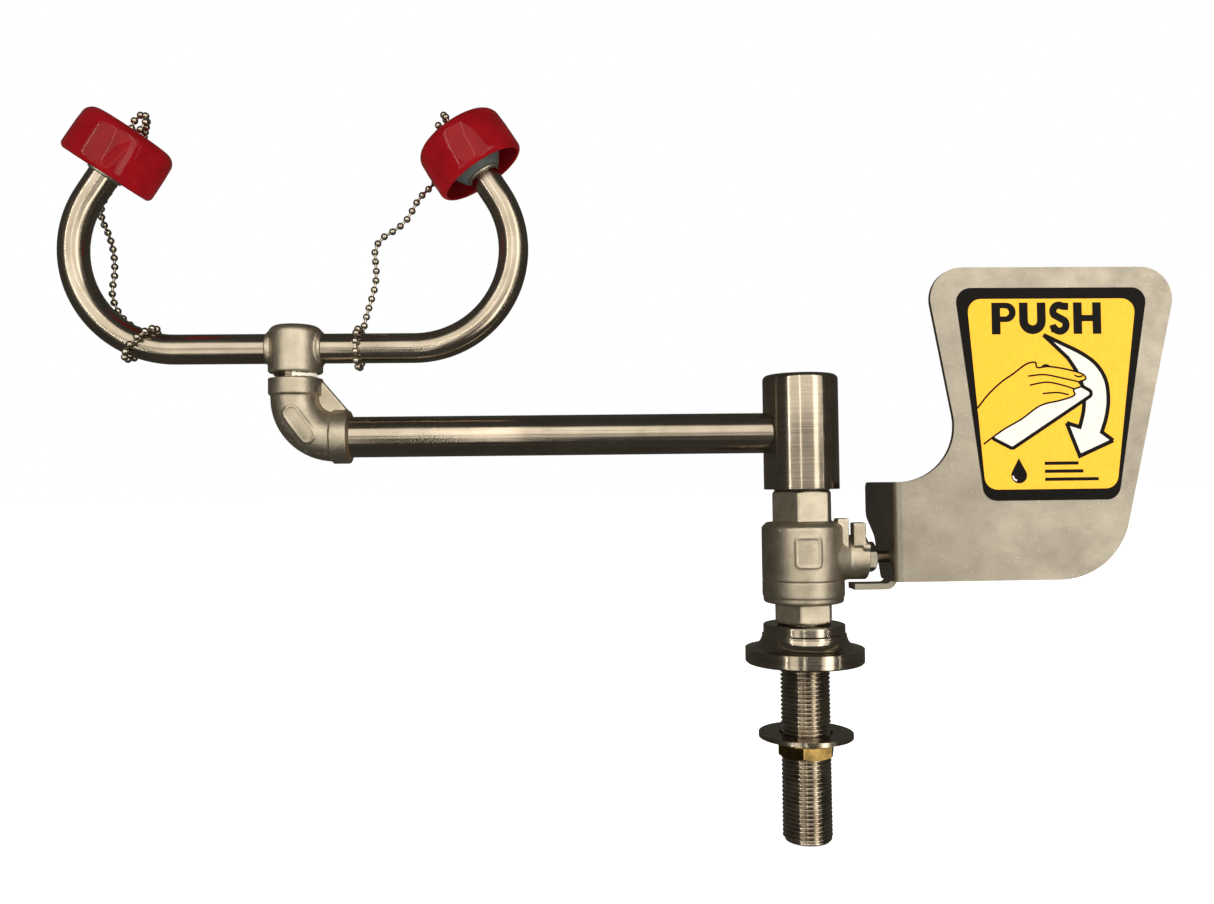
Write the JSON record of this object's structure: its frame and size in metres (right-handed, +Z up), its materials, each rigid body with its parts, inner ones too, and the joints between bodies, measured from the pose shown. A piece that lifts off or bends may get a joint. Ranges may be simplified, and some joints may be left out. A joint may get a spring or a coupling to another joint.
{
  "type": "swivel-arm emergency eyewash",
  "caption": "Bench-mounted emergency eyewash: swivel arm with capped spray heads on a curved yoke, turned on by a push paddle at its ball valve.",
  "frame": {"origin": "on the shank's axis at the deck flange's underside, which is the bench top", "axes": "+Z up; the arm reaches towards -X; the push paddle stands at +X; the user stands at -Y"},
  "size_m": [0.4688, 0.0545, 0.3108],
  "materials": {
    "turned_steel": "satin turned",
    "threaded_steel": "machined",
    "cast_steel": "bead-blasted casting",
    "brass_nut": "machined",
    "ptfe": "smooth",
    "rubber_ring": "smooth",
    "plated_steel": "polished",
    "sheet_steel": "mill finish",
    "label": "printed vinyl, satin",
    "grey_plastic": "moulded",
    "screen": "woven",
    "red_vinyl": "dip moulded, glossy",
    "chain_steel": "plated"
  },
  "bodies": {
    "base": {"mounting_shank": "threaded_steel", "deck_flange": "turned_steel", "backing_washer": "threaded_steel", "back_nut": "brass_nut", "valve_end_piece": "cast_steel", "body_seal": "ptfe", "valve_body": "cast_steel", "upper_seat_ring": "ptfe", "lower_seat_ring": "ptfe", "stem_packing": "ptfe", "gland_nut": "plated_steel", "swivel_spindle": "turned_steel", "swivel_o_rings": "rubber_ring", "swivel_clip": "turned_steel", "swivel_washer": "ptfe"},
    "paddle": {"valve_ball": "plated_steel", "valve_stem": "plated_steel", "stem_thrust_washer": "ptfe", "push_paddle": "sheet_steel", "push_label": "label", "handle_lock_washer": "plated_steel", "handle_nut": "plated_steel"},
    "arm": {"swivel_barrel": "turned_steel", "arm_tube": "turned_steel", "elbow": "cast_steel", "elbow_nipple": "threaded_steel", "yoke_tee": "cast_steel", "left_yoke_tube": "turned_steel", "left_spray_cup": "grey_plastic", "left_filter_screen": "screen", "left_spray_plate": "grey_plastic", "left_tube_ring": "chain_steel", "left_chain_lower": "chain_steel", "right_yoke_tube": "turned_steel", "right_spray_cup": "grey_plastic", "right_filter_screen": "screen", "right_spray_plate": "grey_plastic", "right_tube_ring": "chain_steel", "right_chain_lower": "chain_steel"},
    "left_cap": {"left_dust_cap": "red_vinyl", "left_cap_ring": "chain_steel", "left_chain_upper": "chain_steel"},
    "right_cap": {"right_dust_cap": "red_vinyl", "right_cap_ring": "chain_steel", "right_chain_upper": "chain_steel"}
  },
  "joints": [
    {"name": "arm_swivel", "type": "hinge", "parent": "base", "child": "arm", "pos_m": [0, 0, 0.09735], "axis": [0, 0, 1], "range_deg": [-90, 90]},
    {"name": "paddle_turn", "type": "hinge", "parent": "base", "child": "paddle", "pos_m": [0.036, 0, 0.044], "axis": [-1, 0, 0], "range_deg": [0, 90]},
    {"name": "left_cap_lift", "type": "slide", "parent": "arm", "child": "left_cap", "axis": [0.5461, 0, 0.8377], "range_m": [0, 0.035]},
    {"name": "right_cap_lift", "type": "slide", "parent": "arm", "child": "right_cap", "axis": [-0.5461, 0, 0.8377], "range_m": [0, 0.035]}
  ]
}
